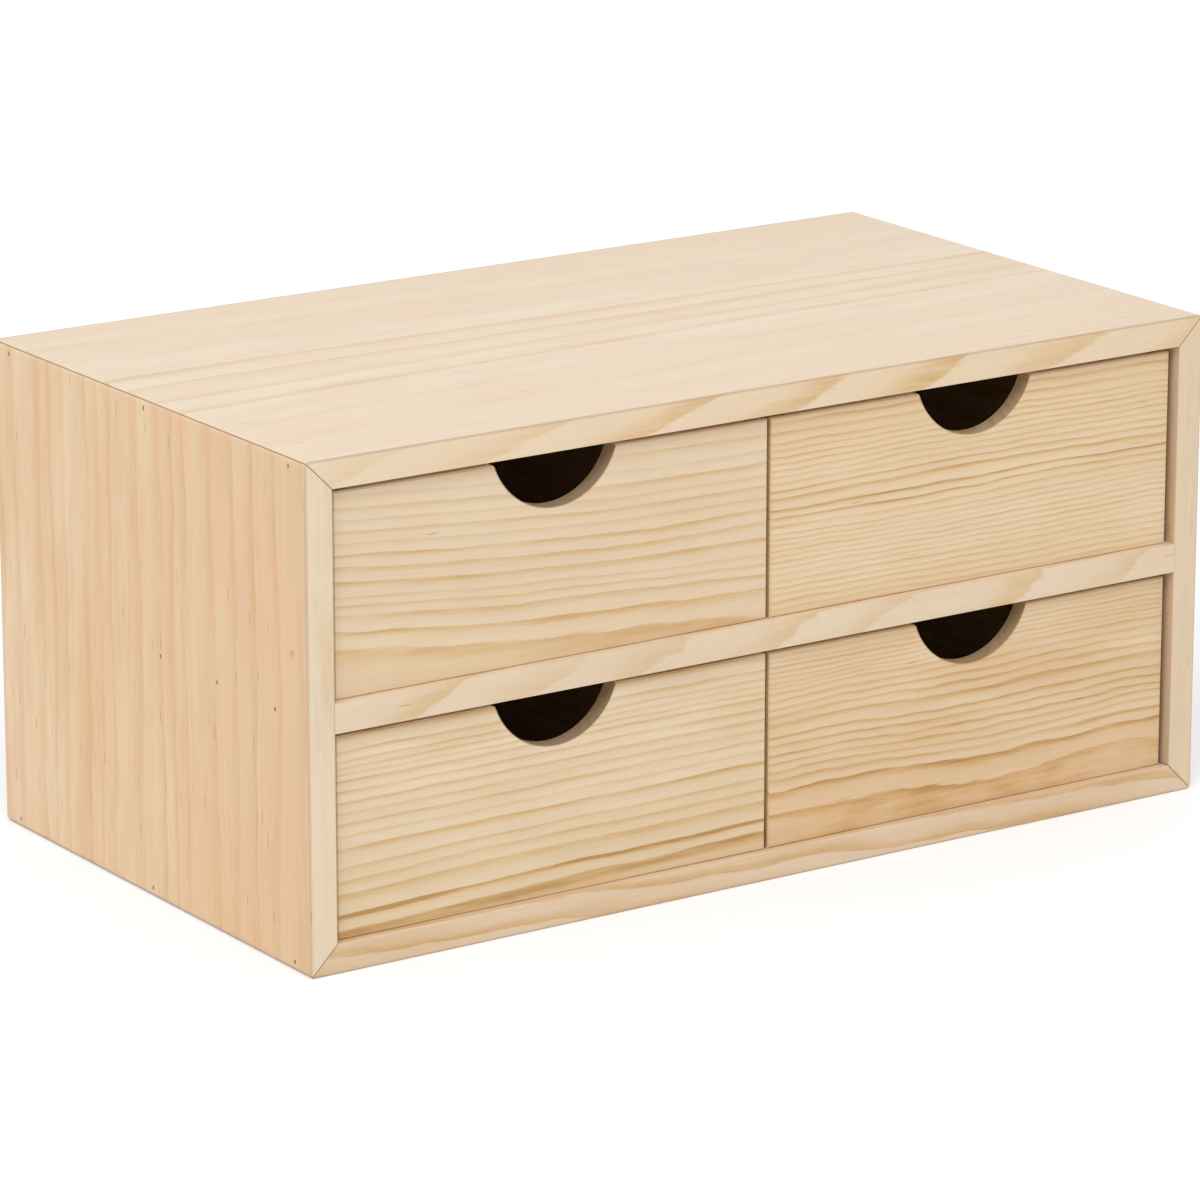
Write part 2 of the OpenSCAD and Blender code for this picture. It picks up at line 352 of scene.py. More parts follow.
def from_pith(tree, shaped, seed):
    """The distance from the pith in mm, frayed a little by the fibres"""
    across = add(tree, "ShaderNodeVectorMath", {0: shaped, 1: (0, 1, 1)}, operation="MULTIPLY")
    distance = add(tree, "ShaderNodeVectorMath", {0: across}, out="Value", operation="LENGTH")
    edge = streaks(tree, shaped, *FRAY_SIZE, 3, seed)
    edge = add(tree, "ShaderNodeMapRange", {"Value": edge, "To Min": -FRAY, "To Max": FRAY})
    return add(tree, "ShaderNodeMath", {0: distance, 1: edge}, operation="ADD")


def record(tree, distance, pairs):
    """Read a value or a colour off a log's record at a distance from the pith"""
    reach = pairs[-1][0]
    share = add(tree, "ShaderNodeMath", {0: distance, 1: reach}, operation="DIVIDE")
    return add(tree, "ShaderNodeValToRGB", {"Fac": share},
               stops=[(mm / reach, value) for mm, value in pairs])


def late_wood(tree, distance, growth, darkness, seed):
    """How much late wood there is at a point, from 0 for pale wood to 1 for the darkest rings"""
    years = record(tree, distance, growth)
    season = add(tree, "ShaderNodeMath", {0: years}, operation="FRACT")
    year = add(tree, "ShaderNodeMath", {0: years}, operation="FLOOR")
    year = add(tree, "ShaderNodeMath", {0: year, 1: seed}, operation="ADD")
    luck = add(tree, "ShaderNodeTexWhiteNoise", {"W": year}, noise_dimensions="1D")
    luck = add(tree, "ShaderNodeMapRange", {"Value": luck, "To Min": LUCK[0], "To Max": LUCK[1]})
    ring = add(tree, "ShaderNodeValToRGB", {"Fac": season}, stops=SEASONS)
    dark = record(tree, distance, darkness)
    ring = add(tree, "ShaderNodeMath", {0: ring, 1: dark}, operation="MULTIPLY")
    return add(tree, "ShaderNodeMath", {0: ring, 1: luck}, operation="MULTIPLY")


late_share = sum((after[0] - before[0]) * (after[1] + before[1]) / 2
                 for before, after in zip(SEASONS, SEASONS[1:]))
print("Share of late wood in a year:", round(late_share, 2))

# %% [markdown]
# ### Fibres, resin canals and end grain
#
# Between the rings the wood is not plain. Fibres are streaks about a quarter of a millimetre
# wide, which is too fine to show here, so they are drawn twice as wide, and bundles of them show
# as longer threads. Resin canals are short dark dashes along the grain. Broad clouds of a pinker
# cream lie under all of these. Where a board is cut across, the open ends of the fibres swallow
# light and the wood looks darker.

# %% Canals and cut faces
CANAL_APART_ALONG = 24
CANAL_APART_ACROSS = 2.2
CANAL_FADES, CANAL_FULL = 0.14, 0.07
FACING_FROM, FACING_FULL = 0.45, 0.9


def resin_canals(tree, log, share, seed):
    """Dashes a few mm long and half a mm wide, in a share of the places they can have"""
    spacing = (1 / CANAL_APART_ALONG, 1 / CANAL_APART_ACROSS, 1 / CANAL_APART_ACROSS)
    place = add(tree, "ShaderNodeVectorMath", {0: log, 1: spacing}, operation="MULTIPLY")
    place = add(tree, "ShaderNodeVectorMath", {0: place, 1: (seed, seed, seed)}, operation="ADD")
    centre = add(tree, "ShaderNodeTexVoronoi", {"Vector": place, "Scale": 1.0}, out="Distance")
    which = add(tree, "ShaderNodeTexVoronoi", {"Vector": place, "Scale": 1.0}, out="Color")
    which = add(tree, "ShaderNodeSeparateColor", {"Color": which})
    dash = add(tree, "ShaderNodeMapRange", {"Value": centre, "From Min": CANAL_FADES,
                                            "From Max": CANAL_FULL})
    chosen = add(tree, "ShaderNodeMapRange", {"Value": which, "From Min": 1 - share,
                                              "From Max": 1.1 - share})
    return add(tree, "ShaderNodeMath", {0: dash, 1: chosen}, operation="MULTIPLY")


def facing(tree, direction):
    """1 on the faces that look along a direction or against it, 0 on the others"""
    normal = add(tree, "ShaderNodeTexCoord", out="Normal")
    along = add(tree, "ShaderNodeVectorMath", {0: normal, 1: direction}, out="Value",
                operation="DOT_PRODUCT")
    along = add(tree, "ShaderNodeMath", {0: along}, operation="ABSOLUTE")
    return add(tree, "ShaderNodeMapRange", {"Value": along, "From Min": FACING_FROM,
                                            "From Max": FACING_FULL})


print("Longest canal, mm:", round(2 * CANAL_FADES * CANAL_APART_ALONG, 1),
      "- places for one on 100 square mm:", round(100 / CANAL_APART_ALONG / CANAL_APART_ACROSS, 1))

# %% [markdown]
# ### Marks on the wood, and painted shade
#
# A few things are not in the rings. Each is a function that stains the wood it is given.
#
# A mitre shows as a hairline of glue and dust. It lies in a plane that slants at 45 degrees through
# a corner of the case. So the distances of its points from the middle of the case, in X and in Z,
# differ by the same offset in all four mitres.

# %% Mitre seam
CASE_MIDDLE = (Vector(cad_low) + Vector(cad_high)) / 2
CASE_HALF = (Vector(cad_high) - Vector(cad_low)) / 2
MITRE_OFFSET = CASE_HALF.x - CASE_HALF.z
SEAM_EDGE, SEAM_CORE = 0.4, 0.15


def stain(tree, wood, amount, colour):
    """Cover the wood with a colour by an amount from 0 to 1"""
    return add(tree, "ShaderNodeMix", {0: amount, 6: wood, 7: linear(colour)}, out=2,
               data_type="RGBA")


def mitre_seam(tree, wood):
    """A hairline on the slanted planes in which the boards of the case meet"""
    point = add(tree, "ShaderNodeTexCoord", out="Object")
    point = add(tree, "ShaderNodeVectorMath", {0: point, 1: CASE_MIDDLE}, operation="SUBTRACT")
    corner = add(tree, "ShaderNodeVectorMath", {0: point}, operation="ABSOLUTE")
    off = add(tree, "ShaderNodeVectorMath", {0: corner, 1: (1, 0, -1)}, out="Value",
              operation="DOT_PRODUCT")
    off = add(tree, "ShaderNodeMath", {0: off, 1: MITRE_OFFSET}, operation="SUBTRACT")
    off = add(tree, "ShaderNodeMath", {0: off}, operation="ABSOLUTE")
    dust = add(tree, "ShaderNodeMapRange", {"Value": off, "From Min": SEAM_EDGE * MM,
                                            "From Max": SEAM_CORE * MM, "To Max": 0.6})
    return stain(tree, wood, dust, "#6b4d2e")


print("Mitre planes lie", round(MITRE_OFFSET / MM, 1), "mm off the diagonal")

# %% [markdown]
# The long outer edges at the front and the back get a browner line about a millimetre wide, which
# is painted shade along the rounded edge. A point is on such an edge when it lies close under two
# faces of the case at once: the front or the back, and one of the four around. The inner faces of
# the two sides, a board's thickness down, are made a little duller, which is painted shade.

# %% Painted shade on outer edges and inner faces
EDGE_SHADE_FROM, EDGE_SHADE_FULL = 0.9, 0.35
BOARD_THICKNESS = 10
INSIDE_FROM, INSIDE_FULL = BOARD_THICKNESS - 0.4, BOARD_THICKNESS - 0.1


def depths(tree):
    """How deep a point lies under a side, under the front or back, and under the top or bottom"""
    point = add(tree, "ShaderNodeTexCoord", out="Object")
    point = add(tree, "ShaderNodeVectorMath", {0: point, 1: CASE_MIDDLE}, operation="SUBTRACT")
    point = add(tree, "ShaderNodeVectorMath", {0: point}, operation="ABSOLUTE")
    under = add(tree, "ShaderNodeVectorMath", {0: CASE_HALF, 1: point}, operation="SUBTRACT")
    return add(tree, "ShaderNodeSeparateXYZ", {0: under}).node.outputs


def painted_edge_shade(tree, wood):
    """Painted shade: a faint brown line along the outer edges of the front and the back"""
    side, front, top = depths(tree)
    around = add(tree, "ShaderNodeMath", {0: side, 1: top}, operation="MINIMUM")
    deep = add(tree, "ShaderNodeMath", {0: front, 1: around}, operation="MAXIMUM")
    edge_shade_line = add(tree, "ShaderNodeMapRange", {"Value": deep, "From Min": EDGE_SHADE_FROM * MM,
                                              "From Max": EDGE_SHADE_FULL * MM, "To Max": 0.5})
    return stain(tree, wood, edge_shade_line, "#b4967a")


def painted_inside_shade(tree, wood):
    """Painted shade: a duller tone on the inner face of a side"""
    side = depths(tree)[0]
    inside = add(tree, "ShaderNodeMapRange", {"Value": side, "From Min": INSIDE_FROM * MM,
                                              "From Max": INSIDE_FULL * MM, "To Max": 0.38})
    return stain(tree, wood, inside, "#988670")


print("Half of the case, mm:", [round(half / MM, 1) for half in CASE_HALF])

# %% [markdown]
# The wall of each finger notch is made browner, which is painted shade of the hollow. The wall is
# wherever the distance from the notch's centre is its radius. One side of the case also has a pin
# knot, a spot where a twig began.

# %% Notch wall and pin knot
NOTCH_RADIUS = 24.5
NOTCH_RISE = 7.5
NOTCH_SHADE_FROM, NOTCH_SHADE_FULL = 0.45, 0.15


def notch_painted_shade(tree, wood, node_name, shade_amount):
    """Painted shade on the cut edge round the finger notch of a drawer front, browner by 0 to 1"""
    low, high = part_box(node_name)
    centre = ((low.x + high.x) / 2, 0, high.z + NOTCH_RISE * MM)
    point = add(tree, "ShaderNodeTexCoord", out="Object")
    point = add(tree, "ShaderNodeVectorMath", {0: point, 1: (1, 0, 1)}, operation="MULTIPLY")
    distance = add(tree, "ShaderNodeVectorMath", {0: point, 1: centre}, out="Value",
                   operation="DISTANCE")
    notch_shade = add(tree, "ShaderNodeMapRange", {
        "Value": distance, "From Min": (NOTCH_RADIUS + NOTCH_SHADE_FROM) * MM,
        "From Max": (NOTCH_RADIUS + NOTCH_SHADE_FULL) * MM, "To Max": shade_amount})
    return stain(tree, wood, notch_shade, "#93795a")


def pin_knot(tree, wood, place, radius):
    """A spot of darker wood, at a place and of a radius in mm"""
    point = add(tree, "ShaderNodeTexCoord", out="Object")
    spot = [MM * value for value in place]
    distance = add(tree, "ShaderNodeVectorMath", {0: point, 1: spot}, out="Value",
                   operation="DISTANCE")
    core = add(tree, "ShaderNodeMapRange", {
        "Value": distance, "From Min": radius * MM, "From Max": 0.2 * radius * MM,
        "To Max": 0.45}, interpolation_type="SMOOTHSTEP")
    return stain(tree, wood, core, "#ab7a45")


print("Width of a finger notch at the top, mm:",
      round(2 * (NOTCH_RADIUS ** 2 - NOTCH_RISE ** 2) ** 0.5, 1))

# %% [markdown]
# ### The colour of pine
#
# Late wood isn't another pigment, only a denser layer of the same amber, so its colour multiplies
# the wood's like a filter: the more of it, the more blue is lost. The front edges of the case may
# have a tone of their own, as they were planed last and are fresher.

# %% Colour of pine
LATE_WOOD_FILTER = ((0, "#ffffff"), (0.5, "#f1e1c4"), (1, "#d1b587"))
LOG_RADIUS = 400
CLOUD_SIZE = (70, 13)
EDGE_FRESHNESS = 0.75


def pine_colour(tree, log, distance, late, pale, blush, edge_tone, seed):
    """Early wood by its age, with broad pinker clouds, seen through the late wood"""
    tones = [(mm, linear(colour)) for mm, colour in (*pale, (LOG_RADIUS, pale[-1][1]))]
    early = record(tree, distance, tones)
    clouds = streaks(tree, log, *CLOUD_SIZE, 2, seed)
    clouds = add(tree, "ShaderNodeMapRange", {"Value": clouds, "From Min": 0.35, "From Max": 0.65})
    early = stain(tree, early, clouds, blush)
    if edge_tone:
        fresh = add(tree, "ShaderNodeMath", {0: facing(tree, (0, 1, 0)), 1: EDGE_FRESHNESS},
                    operation="MULTIPLY")
        early = stain(tree, early, fresh, edge_tone)
    tint = add(tree, "ShaderNodeValToRGB", {"Fac": late},
               stops=[(amount, linear(colour)) for amount, colour in LATE_WOOD_FILTER])
    return add(tree, "ShaderNodeVectorMath", {0: early, 1: tint}, operation="MULTIPLY")


densest = linear(LATE_WOOD_FILTER[-1][1])[:3]
print("Light that the densest late wood lets through:", [round(part, 2) for part in densest])

# %% [markdown]
# ### Patches and fibres
#
# No ring is equally dark all along. It comes and goes in patches a few centimetres long, and these
# show best on the narrow front edges. Over them lie the fibres and threads, as a factor on the
# brightness that stays close to 1.

# %% Patches and fibres
PATCH_SIZE = (45, 3)
FIBRE_SIZE = (16, 0.55)
THREAD_SIZE = (60, 1.4)


def in_patches(tree, log, late, edge_strength, seed):
    """Late wood that comes and goes in patches, stronger or weaker on the front edge"""
    patches = streaks(tree, log, *PATCH_SIZE, 3, seed)
    patches = add(tree, "ShaderNodeMapRange", {"Value": patches, "From Min": 0.3, "From Max": 0.7,
                                               "To Min": 0.45, "To Max": 1.25})
    late = add(tree, "ShaderNodeMath", {0: late, 1: patches}, operation="MULTIPLY")
    slanted = add(tree, "ShaderNodeMapRange", {"Value": facing(tree, (0, 1, 0)),
                                               "To Min": 1, "To Max": edge_strength})
    return add(tree, "ShaderNodeMath", {0: late, 1: slanted}, operation="MULTIPLY")


def fibre_shade(tree, shaped, fibres, uneven, seed):
    """A factor close to 1 that gives the wood its fibres and longer threads"""
    shade = add(tree, "ShaderNodeMapRange", {"Value": fibres, "From Min": 0.25, "From Max": 0.75,
                                             "To Min": 0.965, "To Max": 1.025})
    threads = streaks(tree, shaped, *THREAD_SIZE, 3, seed)
    threads = add(tree, "ShaderNodeMapRange", {"Value": threads, "From Min": 0.3, "From Max": 0.7,
                                               "To Min": 1 - uneven, "To Max": 1 + uneven})
    return add(tree, "ShaderNodeMath", {0: shade, 1: threads}, operation="MULTIPLY")


print("A fibre is drawn", FIBRE_SIZE[1], "mm wide and a thread", THREAD_SIZE[1], "mm")

# %% [markdown]
# ### Putting the board together
#
# Bare sanded pine scatters light evenly. Its roughness is about 0.6, a little less on the hard
# late wood, and its index of refraction is that of cellulose, 1.53. Sanding leaves the fibres
# standing by a few hundredths of a millimetre, which is all the relief there is.

# %% Raw pine
GRAIN = {ALONG_X: (1, 0, 0), ALONG_Y: (0, 1, 0), ALONG_Z: (0, 0, 1)}
WOOD_IOR = 1.53
WOOD_GLOSS = 0.35
RELIEF_HEIGHT = 0.04
CANAL_STAIN = 0.45
END_GRAIN_STAIN = 0.55


def raw_pine(name, pith, grain, growth, darkness, lean=(0, 0, 0), pale=((0, "#e8d0af"),),
             blush="#e3c3a0", waves=(110, 45, (1.0, 1.0)), seed=1, bend=None, taper=None,
             edge_tone=None, edge_strength=1, canals=0.1, uneven=0.02, marks=()):
    """Sanded pine for one board, cut from its own place in a log"""
    material = empty_material(name)
    tree = material.node_tree
    log = in_the_log(tree, pith, [direction + extra for direction, extra in zip(grain, lean)])
    shaped = bow(tree, log, *bend) if bend else log
    shaped = flare(tree, shaped, taper) if taper else shaped
    shaped = wander(tree, shaped, *waves, seed)
    distance = from_pith(tree, shaped, seed + 1)
    late = late_wood(tree, distance, growth, darkness, seed)
    late = in_patches(tree, log, late, edge_strength, seed + 2)

    wood = pine_colour(tree, log, distance, late, pale, blush, edge_tone, seed + 3)
    fibres = streaks(tree, shaped, *FIBRE_SIZE, 3, seed + 4)
    shade = fibre_shade(tree, shaped, fibres, uneven, seed + 5)
    wood = add(tree, "ShaderNodeVectorMath", {0: wood, "Scale": shade}, operation="SCALE")
    dashes = add(tree, "ShaderNodeMath", {0: resin_canals(tree, log, canals, seed), 1: CANAL_STAIN},
                 operation="MULTIPLY")
    wood = stain(tree, wood, dashes, "#8a5f38")
    cut = add(tree, "ShaderNodeMath", {0: facing(tree, GRAIN[grain]), 1: END_GRAIN_STAIN},
              operation="MULTIPLY")
    wood = stain(tree, wood, cut, "#c9a577")
    for mark, *details in marks:
        wood = mark(tree, wood, *details)

    height = add(tree, "ShaderNodeMath", {0: late, 1: 0.15, 2: fibres}, operation="MULTIPLY_ADD")
    relief = add(tree, "ShaderNodeBump", {"Height": height, "Strength": 0.3,
                                          "Distance": RELIEF_HEIGHT * MM})
    rough = add(tree, "ShaderNodeMapRange", {"Value": late, "To Min": 0.64, "To Max": 0.54})
    surface = add(tree, "ShaderNodeBsdfPrincipled", {
        "Base Color": wood, "Roughness": rough, "IOR": WOOD_IOR, "Normal": relief,
        "Specular IOR Level": WOOD_GLOSS})
    add(tree, "ShaderNodeOutputMaterial", {"Surface": surface})
    print(name, "-", growth[-1][1], "years in", growth[-1][0], "mm,", len(tree.nodes), "nodes")
    return material


# %% [markdown]
# ## The drawer fronts
#
# The four fronts are what the eye goes to, and each is its own cut. The upper left one lies
# almost flat against a ring along its lower edge, which opens there into one golden arch. The
# upper right one is the plainest, with close straight lines. The lower ones have darker years
# near the pith, and the lower right one ends in the broadest arch.

# %% Pine for the upper fronts
# Each front's last mark is painted shade on the wall of its finger notch.
FRONT_Y = -97

upper_left_pine = raw_pine(
    "raw_pine_upper_left_front", pith=(-84, FRONT_Y + 25, 87), grain=ALONG_X, seed=3,
    lean=(0, 0.015, 0.02), pale=((0, "#e4cea9"), (28, "#e3cdac"), (34, "#e2cdb0"), (60, "#e3cfb2")),
    blush="#e1c8a8", waves=(100, 30, (0.9, 1.0)), bend=(50, 3),
    growth=((0, 0), (24, 5.3), (27.3, 6), (30.5, 7), (33.9, 8), (38.2, 10), (42.1, 11),
            (49.7, 13), (60.3, 16), (68, 18), (80, 20.5)),
    darkness=((0, 0.6), (27, 0.6), (30, 0.75), (35, 0.55), (42, 0.65), (53, 0.45), (68, 0.5),
              (80, 0.45)),
    marks=((notch_painted_shade, "upper_left_drawer_front", 0.8),))

upper_right_pine = raw_pine(
    "raw_pine_upper_right_front", pith=(84, FRONT_Y + 30, 40), grain=ALONG_X, seed=5,
    lean=(0, 0.005, 0), pale=((0, "#e6cfb0"), (98, "#e6cfb0"), (116, "#e3c8a2")),
    blush="#e2c9a5", waves=(90, 40, (0.8, 1.3)),
    growth=((0, 0), (58.3, 23), (70.7, 29), (83.6, 36), (91.6, 39), (95.8, 40), (100.6, 42),
            (113, 48), (130, 53)),
    darkness=((0, 0.6), (80, 0.6), (84, 0.75), (92, 1), (96, 1), (101, 0.65), (113, 0.75),
              (130, 0.6)),
    marks=((notch_painted_shade, "upper_right_drawer_front", 0.55),))

# %% Pine for the lower fronts
# Each front's last mark is painted shade on the wall of its finger notch.
lower_left_pine = raw_pine(
    "raw_pine_lower_left_front", pith=(-84, FRONT_Y + 25, -5), grain=ALONG_X, seed=8,
    lean=(0, 0.002, -0.016), pale=((0, "#e0c9a5"), (45, "#e4cfb1"), (66, "#e7d2b6"), (72, "#ead7bd")),
    blush="#dfc8a6", waves=(120, 50, (0.6, 1.0)),
    growth=((0, 0), (31.9, 5), (35, 6), (40.1, 7), (47, 9), (52.2, 10), (59.2, 12), (72.7, 16),
            (79, 19), (82, 20), (86.4, 21), (95, 23)),
    darkness=((0, 1.4), (35, 1.5), (38, 0.9), (43, 0.5), (52, 0.7), (57, 0.45), (65, 0.75),
              (73, 0.8), (76, 0.4), (81, 0.85), (95, 0.7)),
    marks=((notch_painted_shade, "lower_left_drawer_front", 0.8),))

lower_right_pine = raw_pine(
    "raw_pine_lower_right_front", pith=(84, FRONT_Y + 25, 13), grain=ALONG_X, seed=13,
    pale=((0, "#e1c29b"), (26, "#e1c39d"), (31, "#e2c9a9"), (60, "#e4ccac")),
    blush="#ddbf97", waves=(80, 35, (1.2, 1.3)),
    growth=((0, 0), (24.2, 7.25), (25.9, 8), (29.3, 9), (31.6, 10), (33.5, 11), (37.7, 13),
            (42.8, 15), (46.9, 16), (49.6, 17), (57, 20), (62.2, 23.5), (80, 34)),
    darkness=((0, 1.35), (26, 1.35), (29.5, 1.5), (32, 0.75), (36, 0.85), (43, 1.05), (47, 1.1),
              (52, 0.65), (80, 0.5)),
    marks=((notch_painted_shade, "lower_right_drawer_front", 0.65),))

# %% [markdown]
# ## The case
#
# The top is one wide flat cut: a few faint lines run along its middle and draw together towards
# the right, where the log was thinner. The left side is cut further out, where the years are
# wide, and its stripes stand upright. The narrow front edges lie almost along a ring, which
# spreads its late wood over them in long tan patches, darker than anywhere else on the board.

# %% Pine for the top and the sides
# Boards on the outside get the mitre seam and painted shade along their outer edges.
OUTSIDE = ((mitre_seam,), (painted_edge_shade,))

top_pine = raw_pine(
    "raw_pine_top", pith=(0, 2, 194), grain=ALONG_X, seed=21,
    pale=((0, "#ebdcc5"), (50, "#ecddc7"), (52.5, "#ead7be"), (75, "#ead9c1"), (100, "#e9d6bc")),
    blush="#ead4bc", waves=(110, 60, (1.3, 0.2)), taper=0.1, edge_tone="#e6cfaf",
    edge_strength=4,
    growth=((0, 0), (24, 7.5), (25.6, 8), (32.6, 9), (51.9, 10), (86, 12), (91, 13), (130, 20)),
    darkness=((0, 0.5), (33, 0.45), (45, 0.15), (52, 0.16), (86, 0.08), (98, 0.09), (103, 0.17),
              (130, 0.17)),
    marks=OUTSIDE)

# Both sides also get painted shade on their inner faces.
left_pine = raw_pine(
    "raw_pine_left_side", pith=(-150, 160, 0), grain=ALONG_Z, seed=34, lean=(0.0, 0, 0.02),
    pale=((0, "#ebd2b1"), (120, "#ebd0ad"), (262, "#e3c49f")),
    blush="#e7c29c", waves=(110, 45, (3.0, 2.0)), canals=0.5, uneven=0.035,
    growth=((0, 0), (80, 8), (95, 9), (110, 11), (125, 12), (141, 14), (160, 15), (174, 16),
            (188, 18), (206, 19), (219, 20), (231, 21), (245, 22), (262, 23), (300, 25)),
    darkness=((0, 0.27), (160, 0.3), (259, 0.32), (300, 0.3)), edge_tone="#e5d6bd",
    marks=(*OUTSIDE, (painted_inside_shade,), (pin_knot, (-180, -91, 106), 1.7)))

right_pine = raw_pine(
    "raw_pine_right_side", pith=(150, 130, 0), grain=ALONG_Z, seed=37, lean=(0.0, 0, -0.015),
    pale=((0, "#e8cda9"),), blush="#e2c3a0",
    waves=(110, 45, (3.0, 2.0)), canals=0.4, uneven=0.035,
    growth=((0, 0), (60, 6), (88, 10), (110, 12), (135, 16), (160, 17), (190, 22), (240, 26),
            (300, 32)),
    darkness=((0, 0.35), (300, 0.35)),
    edge_tone="#dfcbaf", marks=(*OUTSIDE, (painted_inside_shade,)))

# %% Pine for the bottom and the shelf
bottom_pine = raw_pine(
    "raw_pine_bottom", pith=(0, -70, 32), grain=ALONG_X, seed=41, lean=(0, 0.05, 0),
    pale=((0, "#dfc9ad"),), blush="#dcc09f", waves=(80, 40, (1.6, 1.2)),
    growth=((0, 0), (30, 6), (48, 9.5), (170, 34)),
    darkness=((0, 0.5), (60, 0.5), (170, 0.3)), edge_strength=1.5, marks=OUTSIDE)

shelf_pine = raw_pine(
    "raw_pine_shelf", pith=(0, 20, 112), grain=ALONG_X, seed=47, lean=(0, -0.006, 0),
    pale=((0, "#e4d0b5"),), blush="#e1caad", waves=(60, 40, (1.6, 1.0)), taper=0.1,
    growth=((0, 0), (90, 16), (170, 30)),
    darkness=((0, 0.3), (170, 0.3)), edge_strength=1.6)

# %% [markdown]
# ## Plywood
#
# The back, the dividers and the drawer bottoms are three-ply sheet, 3 mm thick. Its outer plies
# are peeled off the log like paper off a roll, so the knife follows the rings and they wander
# over the sheet in wide, faint islands. On an edge the middle ply runs the other way and shows
# darker, between two thin glue lines.

# %% Plies
PLY_THICKNESS = 3
ISLAND_SIZE = (120, 34)
ISLAND_RINGS = 13
PLY_FIBRE_SIZE = (14, 0.6)
ISLAND_SEASONS = ((0, 0.0), (0.5, 0.15), (0.86, 1.0), (0.97, 0.0))
PLIES = ((0.0, 0.7), (0.4, 0.7), (0.43, 1.0), (0.47, 1.0), (0.5, 0.0))


def peeled_face(tree, log, fibres, seed):
    """The outer ply: rings that wander over the sheet in islands, and its fibres"""
    drift = streaks(tree, log, *ISLAND_SIZE, 2, seed)
    rings = add(tree, "ShaderNodeMath", {0: drift, 1: ISLAND_RINGS}, operation="MULTIPLY")
    rings = add(tree, "ShaderNodeMath", {0: rings}, operation="FRACT")
    rings = add(tree, "ShaderNodeValToRGB", {"Fac": rings}, stops=ISLAND_SEASONS)
    rings = add(tree, "ShaderNodeMath", {0: rings, 1: 0.45}, operation="MULTIPLY")
    face = stain(tree, linear("#e6cda8"), rings, "#cda676")
    shade = add(tree, "ShaderNodeMapRange", {"Value": fibres, "From Min": 0.25, "From Max": 0.75,
                                             "To Min": 0.94, "To Max": 1.03})
    return add(tree, "ShaderNodeVectorMath", {0: face, "Scale": shade}, operation="SCALE")


def core_and_glue(tree, node_name, axis):
    """How much of the darker middle ply and the glue lines shows at a depth in the sheet"""
    low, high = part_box(node_name)
    place = add(tree, "ShaderNodeTexCoord", out="Object")
    depth = add(tree, "ShaderNodeSeparateXYZ", {0: place}, out=axis)
    depth = add(tree, "ShaderNodeMath", {0: depth, 1: (low[axis] + high[axis]) / 2},
                operation="SUBTRACT")
    depth = add(tree, "ShaderNodeMath", {0: depth}, operation="ABSOLUTE")
    depth = add(tree, "ShaderNodeMath", {0: depth, 1: PLY_THICKNESS / 2 * MM}, operation="DIVIDE")
    return add(tree, "ShaderNodeValToRGB", {"Fac": depth}, stops=PLIES)


print("Each ply is", PLY_THICKNESS / 3, "mm thick")

# %% Plywood
def three_ply(name, node_name, axis, grain, seed):
    """Plywood for a sheet whose thickness lies along the axis 0, 1 or 2"""
    material = empty_material(name)
    tree = material.node_tree
    log = in_the_log(tree, (0, 0, 0), grain)
    fibres = streaks(tree, log, *PLY_FIBRE_SIZE, 3, seed + 1)
    face = peeled_face(tree, log, fibres, seed)
    ply = stain(tree, face, core_and_glue(tree, node_name, axis), "#b08a5c")
    relief = add(tree, "ShaderNodeBump", {"Height": fibres, "Strength": 0.3, "Distance": 0.05 * MM})
    surface = add(tree, "ShaderNodeBsdfPrincipled", {
        "Base Color": ply, "Roughness": 0.66, "IOR": WOOD_IOR, "Normal": relief,
        "Specular IOR Level": WOOD_GLOSS})
    add(tree, "ShaderNodeOutputMaterial", {"Surface": surface})
    print(name, "-", len(tree.nodes), "nodes")
    return material


# %% [markdown]
# ## Brads
#
# The boards are pinned with brads, small nails of bright steel that a nail gun drives a third of
# a millimetre below the wood. All that shows is a little slot with a glint of metal in it. Its
# scratches are finer than a render can show, so they are drawn a quarter of a millimetre apart.

# %% Brad steel
SCRATCH_APART = 0.25

brad_steel = empty_material("brad_steel_with_painted_shade")
tree = brad_steel.node_tree
place = add(tree, "ShaderNodeTexCoord", out="Object")
scratches = add(tree, "ShaderNodeTexNoise", {"Vector": place, "Scale": 1 / (SCRATCH_APART * MM),
                                             "Detail": 2})
dull = add(tree, "ShaderNodeMapRange", {"Value": scratches, "To Min": 0.3, "To Max": 0.55})
# The steel is coloured far darker than bright steel, which is painted shade of the slot the head sits
# in.
tint = stain(tree, linear("#6d665c"), scratches, "#4e4840")
steel = add(tree, "ShaderNodeBsdfPrincipled", {"Base Color": tint, "Metallic": 1.0,
                                               "Roughness": dull})
add(tree, "ShaderNodeOutputMaterial", {"Surface": steel})

brad_nodes = [name for name in frame["nodes"] if name.endswith("brads")]
for node_name in brad_nodes:
    frame["nodes"][node_name].data.materials.clear()
    frame["nodes"][node_name].data.materials.append(brad_steel)
print("Groups of brads in steel:", len(brad_nodes))

# %% [markdown]
# ## Boards with eased edges
#
# A sharp edge is the quickest way to spot a computer's wood. A joiner runs sandpaper over every
# arris, which leaves a half-millimetre round that catches the light. The mitres are left
# sharper, so that the joint closes, and show as a hairline.
#
# Each CAD board is copied, its loose triangles are merged into whole faces, and its edges are
# given a weight: 1 for an arris, less for a mitre. A Bevel modifier rounds them by that weight in
# one go, which keeps the corners clean where a mitre meets an arris. The holes of the brads are
# left as the nail made them.

